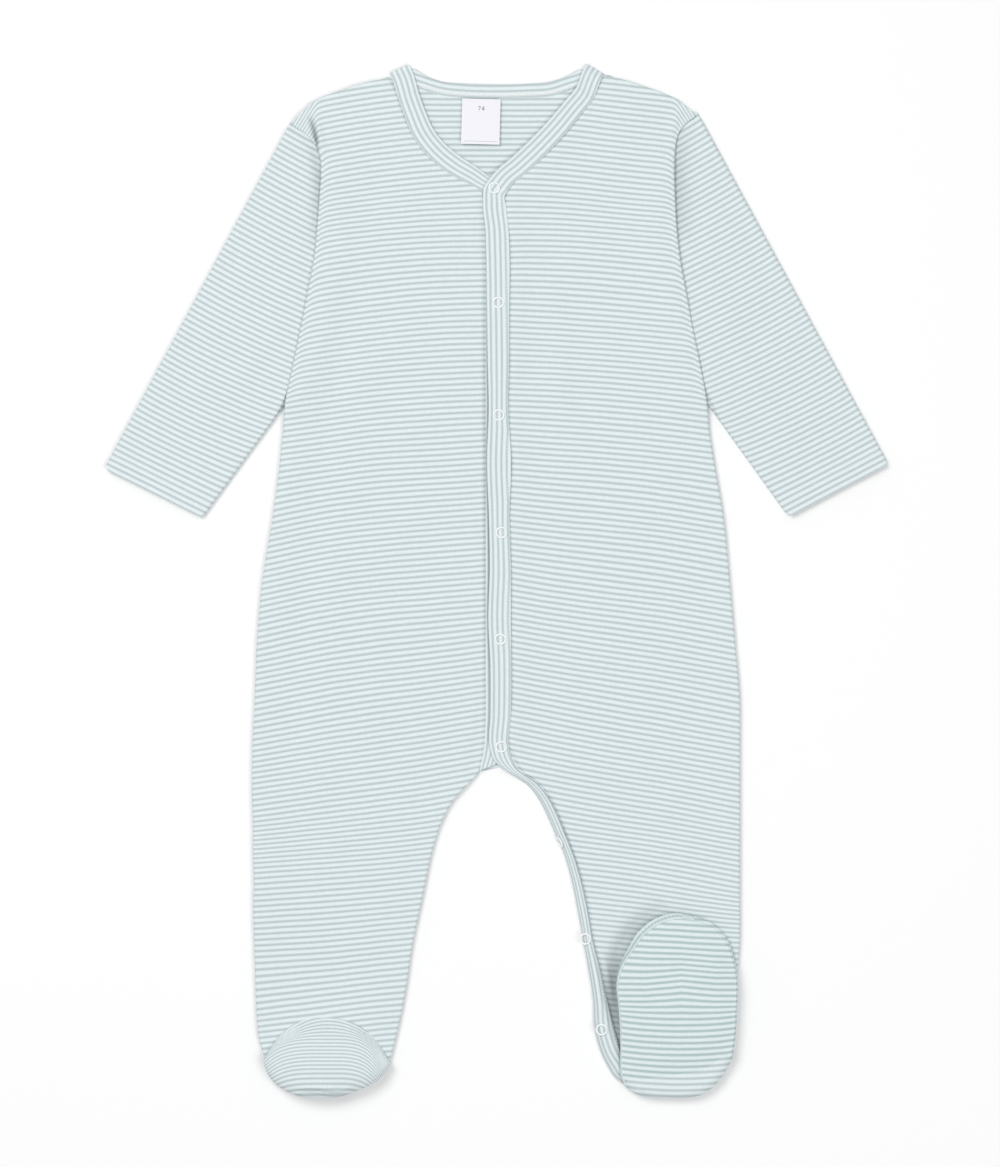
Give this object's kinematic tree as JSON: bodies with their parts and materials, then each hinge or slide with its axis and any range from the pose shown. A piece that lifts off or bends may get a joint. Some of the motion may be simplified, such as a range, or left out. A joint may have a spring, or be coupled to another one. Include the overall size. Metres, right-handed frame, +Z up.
{
  "type": "footed baby sleepsuit",
  "caption": "Long-sleeved footed baby sleepsuit in fine striped jersey, V neck, ring snaps down the front and one leg, laid flat with one foot folded up.",
  "frame": {"origin": "middle of the suit's outline, on the surface that it lies on", "axes": "+Y towards the neck, +Z up and out of the suit's front, +X towards the wearer's left side"},
  "size_m": [0.4936, 0.6513, 0.0185],
  "materials": {
    "jersey": "matt cotton jersey in narrow stripes",
    "binding": "the same striped jersey, folded double",
    "label": "smooth woven tape",
    "snap": "white lacquer"
  },
  "bodies": {
    "root": {"back": "jersey", "front_right": "jersey", "front_left": "jersey", "sleeve_right": "jersey", "sleeve_left": "jersey", "neck_band": "binding", "placket_top": "binding", "placket_under": "binding", "foot_upper_right": "jersey", "sole_right": "jersey", "foot_upper_left": "jersey", "sole_left": "jersey", "label": "label", "snap_front_1": "snap", "snap_front_2": "snap", "snap_front_3": "snap", "snap_front_4": "snap", "snap_front_5": "snap", "snap_front_6": "snap", "snap_leg_1": "snap", "snap_leg_2": "snap", "snap_leg_3": "snap"}
  },
  "joints": []
}
